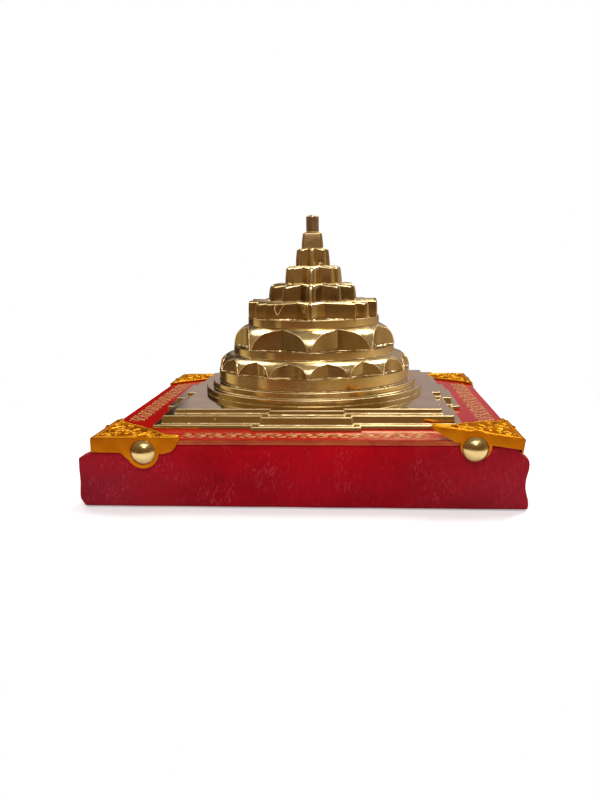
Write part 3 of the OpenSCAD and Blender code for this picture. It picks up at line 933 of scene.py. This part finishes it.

# %% [markdown]
# Velvet is a short dense pile. Seen along the pile it is a clear bright red, and seen against it a
# dull dark one, so hands leave lighter and darker marks in it. The red is also painted brighter
# towards the top, a painted light from above, and duller and pinker towards the left and right, a
# painted sheen on the sides seen at a slant. Its fine tips catch light as a sheen, and paler lint
# clings to it in patches.

# %% Finish: velvet
velvet_red, tree, surface = start_finish("velvet_red", Roughness=0.95, Specular_IOR_Level=0.12,
                                         Sheen_Weight=0.22, Sheen_Roughness=0.4,
                                         Sheen_Tint=(1.0, 0.3, 0.38, 1))
spot = add_node(tree, "ShaderNodeSeparateXYZ")
link(tree, add_node(tree, "ShaderNodeTexCoord").outputs["Object"], spot.inputs[0])
# painted sheen: the red turns duller and pinker towards the left and right, where the sides are seen at a
# slant
painted_side_sheen = spread(tree, calculate(tree, "ABSOLUTE", spot.outputs[0]), 30 * mm, 66 * mm, 0, 1)
# painted light: the red turns brighter towards the top, as if lit from above
high = spread(tree, spot.outputs[2], 9 * mm, 20 * mm, 0, 1)
marks = grain(tree, 22, 3, (1, 1, 1.4))
nap = grain(tree, 0.9, 4, (1, 1, 0.3))
lint = spread(tree, grain(tree, 0.8, 2, (1.3, 1.3, 0.55)), 0.53, 0.70, 0, 0.42)
patches = spread(tree, grain(tree, 9, 3), 0.46, 0.62, 0, 1)
# each red is painted brighter towards the top; the duller, pinker one is the painted sheen of the sides
clear_red = blend_colour(tree, high, (0.37, 0.002, 0.010), (0.50, 0.0006, 0.006))
side_sheen_red = blend_colour(tree, high, (0.335, 0.012, 0.024), (0.36, 0.008, 0.018))
colour = blend_colour(tree, painted_side_sheen, clear_red, side_sheen_red)
shade = ramp(tree, marks, [(0.34, (0.80, 0.80, 0.85)), (0.52, (0.97, 0.97, 0.97)), (0.68, (1.08, 1.0, 1.0))])
colour = blend_colour(tree, 1.0, colour, shade, "MULTIPLY")
depth_of_pile = ramp(tree, nap, [(0.3, (0.55, 0.5, 0.5)), (0.7, (1.1, 1.05, 1.05))])
colour = blend_colour(tree, 0.4, colour, depth_of_pile, "MULTIPLY")
colour = blend_colour(tree, calculate(tree, "MULTIPLY", lint, patches), colour, (0.52, 0.06, 0.085))
link(tree, colour, surface.inputs["Base Color"])
bump(tree, surface, (marks, 0.15, 0.5), (nap, 0.4, 0.2), (lint, 0.15, 0.1))
hand_over(velvet, "base", "velvet", velvet_red, "velvet_cover")
print("velvet dressed")

# %% [markdown]
# The red plate is a thin lacquered sheet with a gilt edge. Its solid is a plain slab, so a copy gets
# a small round edge, and the faces around its rim wear the gilt finish.

# %% Red plate
plate_red, tree, surface = start_finish("lacquer_red", IOR=1.17)
paint(tree, surface, grain(tree, 30, 3), (0.35, (0.36, 0.002, 0.002)), (0.7, (0.45, 0.003, 0.002)))
polish(tree, surface, grain(tree, 2.2, 4), 0.06, 0.13)
bump(tree, surface, (grain(tree, 6, 2), 0.1, 0.1))
gilt_edge, tree, surface = start_finish("gilt_edge", Metallic=0.4)
paint(tree, surface, grain(tree, 5, 4, (1, 1, 3)), (0.35, (0.36, 0.03, 0.004)), (0.68, (0.46, 0.085, 0.008)))
polish(tree, surface, grain(tree, 1.2, 3), 0.28, 0.45)
bump(tree, surface, (grain(tree, 1.5, 3), 0.2, 0.08))
plate = merged("red_plate", "lacquered_plate")
round_edges(plate, 0.3)
wear(plate, plate_red, gilt_edge)
for face in plate.data.polygons:
    face.material_index = 1 if abs(face.normal.z) < 0.6 else 0
hand_over(plate, "base", "red_gloss", None, "red_plate")
print("plate faces:", len(plate.data.polygons))

# %% [markdown]
# A band of gold ornament runs along each side of the plate. It is a plain running vine of the
# general kind: a waving stem with leaves, buds and dots. One length is drawn flat, given a hair of
# thickness, and copied along the four sides.

# %% Gold vine border
print_thick = 0.07


def flat_leaf(length, width, bend, place, turn, thick=print_thick, crown=0):
    let_go()
    bpy.ops.mesh.primitive_circle_add(vertices=14, radius=1, fill_type="NGON")
    leaf = at_hand()
    for point in leaf.data.vertices:
        x, y = point.co.x, point.co.y
        point.co = Vector((x * length / 2, y * width / 2 * (0.75 - 0.5 * x) + bend * x * x, 0)) * mm
    edit_mode("SELECT")
    extrude_up(thick * mm)
    if crown:
        bpy.ops.mesh.inset(thickness=0.2 * width * mm, depth=crown * mm)
    object_mode()
    leaf.rotation_euler.z = math.radians(turn)
    leaf.location = Vector((*place, 0)) * mm
    settle(leaf)
    return leaf


def vine_length(run, swing):
    let_go()
    bpy.ops.mesh.primitive_grid_add(x_subdivisions=20, y_subdivisions=1, size=1)
    stem = at_hand()
    for point in stem.data.vertices:
        along = point.co.x * run
        across = math.copysign(0.3, point.co.y) + swing * math.sin(2 * math.pi * along / run)
        point.co = Vector((along, across, 0)) * mm
    edit_mode("SELECT")
    extrude_up(print_thick * mm)
    object_mode()
    leaves = [(3.6, 2.0, 0.4, (-3.2, 0.8), 65), (3.2, 1.7, -0.4, (-1.9, -2.5), 205),
              (2.6, 1.4, 0.3, (-4.3, 2.6), 150), (3.6, 2.0, -0.4, (2.3, -0.8), -65),
              (3.2, 1.7, 0.4, (3.6, 2.5), 25), (2.6, 1.4, -0.3, (1.2, -2.6), 210),
              (1.3, 1.3, 0, (-0.6, 2.3), 0), (1.1, 1.1, 0, (0.8, 3.3), 0), (1.3, 1.3, 0, (4.9, -2.1), 0),
              (1.1, 1.1, 0, (-4.9, -3.0), 0), (2.2, 1.1, 0.1, (0.2, 1.2), 100),
              (2.2, 1.1, 0.1, (5.2, 0.2), -70)]
    return join("vine_length", [stem] + [flat_leaf(*leaf) for leaf in leaves])


worn_gold = [(0.36, (0.44, 0.10, 0.035)), (0.48, (0.66, 0.33, 0.10)), (0.7, (0.80, 0.50, 0.22))]
gold_print = one_grain("gold_print", (0.8, 4), worn_gold, (0.5, 0.3), (0.2, 0.05), Metallic=0.35)
vine_run, vine_count, vine_out = 10.6, 8, 66.1
one_length = vine_length(vine_run, swing=1.5)
for quarter, name in enumerate(sides):
    turned = Matrix.Rotation(quarter * math.pi / 2, 4, "Z") @ Matrix.Translation((0, 0, plate_top))
    row = []
    for step in range(vine_count):
        along = (step - (vine_count - 1) / 2) * vine_run
        copy = twin(one_length, "vine_copy")
        copy.data.transform(Matrix.Translation(Vector((along, -vine_out, 0)) * mm))
        copy.data.transform(turned)
        row.append(copy)
    vine = join("vine_border_" + name, row)
    hand_over(vine, "base", "gold_sheet", gold_print)
bpy.data.objects.remove(one_length)
print("vine border laid on four sides")

# %% [markdown]
# The corner brackets are stamped from thin sheet and lacquered gold. A copy of each solid gets a
# narrow rounded edge, as a press leaves it. The finish is satin: part bare metal, part lacquer.

# %% Corner brackets
gold_tint = (1.0, 0.6, 0.16, 1)
gold_satin, tree, surface = start_finish("gold_sheet_satin", Metallic=0.92, Specular_Tint=gold_tint)
paint(tree, surface, grain(tree, 6, 4), (0.34, (0.48, 0.128, 0.002)), (0.68, (0.60, 0.19, 0.004)))
polish(tree, surface, grain(tree, 1.5, 4), 0.30, 0.42)
bump(tree, surface, (grain(tree, 3, 3), 0.12, 0.12), (grain(tree, 0.5, 2), 0.1, 0.04))
# The relief's gold is a lighter, yellower copy of the sheet's gold: a painted highlight on the raised
# ridges.
gold_relief_painted_highlight, tree, surface = start_finish("gold_relief_painted_highlight", Metallic=0.8, Specular_Tint=gold_tint)
paint(tree, surface, grain(tree, 4, 4), (0.34, (0.67, 0.28, 0.012)), (0.68, (0.80, 0.38, 0.024)))
polish(tree, surface, grain(tree, 1.2, 4), 0.36, 0.5)
bump(tree, surface, (grain(tree, 0.5, 2), 0.1, 0.04))
corners = ("front_left", "front_right", "rear_right", "rear_left")
for corner in corners:
    bracket = merged("corner_bracket_" + corner, "bracket_" + corner)
    round_edges(bracket, 0.14, steps=2)
    hand_over(bracket, "base", "gold_sheet", gold_satin, "corner_bracket_" + corner)
print("brackets dressed")

# %% [markdown]
# The press also raised a leafy relief on the top of each bracket: a rolled rim, a flower in the
# corner, and scrolls with leaves along both arms. One relief is built flat in the bracket's own
# corner, from ridges and crowned leaves, mirrored over its diagonal, and copied to the four corners.

# %% Bracket relief
def scroll(middle, start_radius, end_radius, start, sweep):
    def path(share):
        angle = math.radians(start + sweep * share)
        radius = start_radius + (end_radius - start_radius) * share
        return Vector(middle) + radius * Vector((math.cos(angle), math.sin(angle)))
    return path


def along_points(*points):
    def path(share):
        place = min(share, 0.9999) * (len(points) - 1)
        first = int(place)
        return Vector(points[first]).lerp(Vector(points[first + 1]), place - first)
    return path


def ridge(path, width, height, steps=20, ends=0.25):
    let_go()
    bpy.ops.mesh.primitive_grid_add(x_subdivisions=steps, y_subdivisions=4, size=1)
    strip = at_hand()
    for point in strip.data.vertices:
        share, across = point.co.x + 0.5, 2 * point.co.y
        ahead = path(min(1, share + 0.02)) - path(max(0, share - 0.02))
        side = Vector((-ahead.y, ahead.x)).normalized()
        thin = 0.3 + 0.7 * min(1, min(share, 1 - share) / ends)
        place = path(share) + side * across * thin * width / 2
        point.co = Vector((place.x, place.y, height * thin * (1 - across * across))) * mm
    edit_mode("SELECT")
    extrude_up(-0.15 * mm)
    object_mode()
    return strip


outer_edge = along_points((0.2, 0.7), (29.8, 0.7))
inner_edge = along_points((29.6, 1.2), (26.6, 2.5), (22.6, 6.2), (19.0, 10.6), (15.0, 15.0))
stem_line = along_points((9.4, 3.0), (11.5, 2.2), (14.2, 2.5), (16.8, 4.6), (19.2, 5.4), (21.6, 4.4),
                         (23.4, 2.4), (26.0, 1.9), (28.4, 1.3))
arm = [ridge(outer_edge, 1.0, 0.34, 12, 0.05), ridge(inner_edge, 0.8, 0.36, 24, 0.1),
       ridge(stem_line, 0.8, 0.42, 28), ridge(scroll((13.6, 5.4), 2.5, 0.5, -100, 440), 0.85, 0.5, 30),
       ridge(scroll((19.4, 2.9), 1.7, 0.4, 90, -400), 0.75, 0.45, 26),
       ridge(scroll((24.0, 3.3), 1.2, 0.35, -80, 380), 0.6, 0.42, 22),
       ridge(scroll((17.6, 8.6), 1.5, 0.4, 200, 380), 0.65, 0.42, 22),
       ridge(scroll((9.2, 10.0), 2.0, 0.5, 250, -380), 0.7, 0.45, 24)]
leaf_places = [(3.6, 1.5, (10.6, 6.6), 70), (3.2, 1.4, (16.6, 6.4), 50), (2.8, 1.2, (16.0, 2.2), -20),
               (2.6, 1.1, (21.6, 2.6), 35), (2.4, 1.0, (21.0, 6.6), 120), (2.2, 0.9, (26.4, 1.6), 10),
               (2.0, 0.9, (14.4, 9.0), 100), (3.0, 1.2, (5.0, 2.4), 15), (1.0, 1.0, (12.2, 8.8), 0),
               (0.9, 0.9, (18.4, 7.2), 0), (0.8, 0.8, (23.0, 1.4), 0), (1.0, 1.0, (7.6, 2.2), 0)]
arm += [flat_leaf(length, width, 0.2, place, turn, 0.2, 0.25) for length, width, place, turn in leaf_places]
first_arm = join("relief_arm", arm)
second_arm = twin(first_arm, "second_arm")
over_diagonal = Matrix(((0, 1, 0, 0), (1, 0, 0, 0), (0, 0, 1, 0), (0, 0, 0, 1)))
second_arm.data.transform(over_diagonal)
flower, flower_middle, petals = [], 5.6, 6
for step in range(petals):
    angle = step * math.tau / petals + 0.26
    place = (flower_middle + 1.7 * math.cos(angle), flower_middle + 1.7 * math.sin(angle))
    flower.append(flat_leaf(2.6, 1.7, 0, place, math.degrees(angle) + 180, 0.2, 0.3))
large_leaves = [(1.5, 1.5, 0, (flower_middle, flower_middle), 0, 0.3, 0.3),
                (4.6, 2.0, 0, (11.8, 11.8), 225, 0.2, 0.3),
                (9.0, 2.6, 0, (25.6, 1.9), 176, 0.25, 0.45), (9.0, 2.6, 0, (1.9, 25.6), 274, 0.25, 0.45)]
flower += [flat_leaf(*leaf) for leaf in large_leaves]
relief = join("relief", [first_arm, second_arm] + flower)
face_outward(relief)
smooth(relief, 50)
sheet = 0.6 * mm
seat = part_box("corner_bracket_front_left")[0].x + sheet
tilted, tilt_angle, tilt_shift = "front_right", math.radians(8.4), 0.35 * mm
for step, corner in enumerate(corners):
    lean, shift = (tilt_angle, tilt_shift) if corner == tilted else (0, 0)
    in_corner = Matrix.Translation((seat, seat - shift, plate_top)) @ Matrix.Rotation(lean, 4, "X")
    copy = twin(relief, "bracket_relief_" + corner)
    copy.data.transform(Matrix.Rotation(step * math.pi / 2, 4, "Z") @ in_corner
                        @ Matrix.Translation((0, 0, sheet)))
    hand_over(copy, "base", "gold_sheet", gold_relief_painted_highlight)
print("relief faces:", len(relief.data.polygons))
bpy.data.objects.remove(relief)

# %% [markdown]
# Eight dome-headed tacks hold the brackets. They are pressed from brass and plated bright, so the
# dome mirrors the whole room, pale at the top and dark across the middle.

# %% Tacks
tack_brass = polished_brass("tack_brass", (0.56, 0.40, 0.15), (0.74, 0.56, 0.26), 0.15, 0.26)
for name in [corner + "_" + flange for corner in corners for flange in "ab"]:
    tack = merged("dome_tack_" + name, "tack_" + name)
    round_edges(tack, 0.12, steps=2, from_angle=40)
    hand_over(tack, "base", "tack_brass", tack_brass, "dome_tack_" + name)
print("tacks dressed")

# %% [markdown]
# What is inside and underneath keeps its solid and only gets its finish: the board's wood with its
# grain along X, the dark card that covers the hem, and the plain steel of the tie rod, washer and nut.

# %% Hidden pieces
def wear_node(name, finish):
    for place in nodes[name].material_slots:
        place.material = finish


wood_stops = [(0.35, (0.36, 0.22, 0.11)), (0.65, (0.58, 0.42, 0.25))]
card_stops = [(0.35, (0.035, 0.028, 0.027)), (0.68, (0.075, 0.062, 0.058))]
steel_stops = [(0.35, (0.42, 0.42, 0.43)), (0.68, (0.62, 0.62, 0.61))]
board_wood = one_grain("board_wood", (4, 5, (0.08, 1, 1)), wood_stops, (0.6, 0.8), (0.3, 0.15))
dark_card = one_grain("dark_card", (0.8, 5, (1, 0.5, 1)), card_stops, (0.75, 0.9), (0.3, 0.08))
plain_steel = one_grain("plain_steel", (2.5, 3, (6, 6, 0.4)), steel_stops, (0.25, 0.42), (0.15, 0.05),
                        Metallic=1.0)
wear_node("board_core", board_wood)
wear_node("backing_sheet", dark_card)
for name in ("tie_rod", "tie_washer", "tie_nut"):
    wear_node(name, plain_steel)
print("hidden pieces dressed")
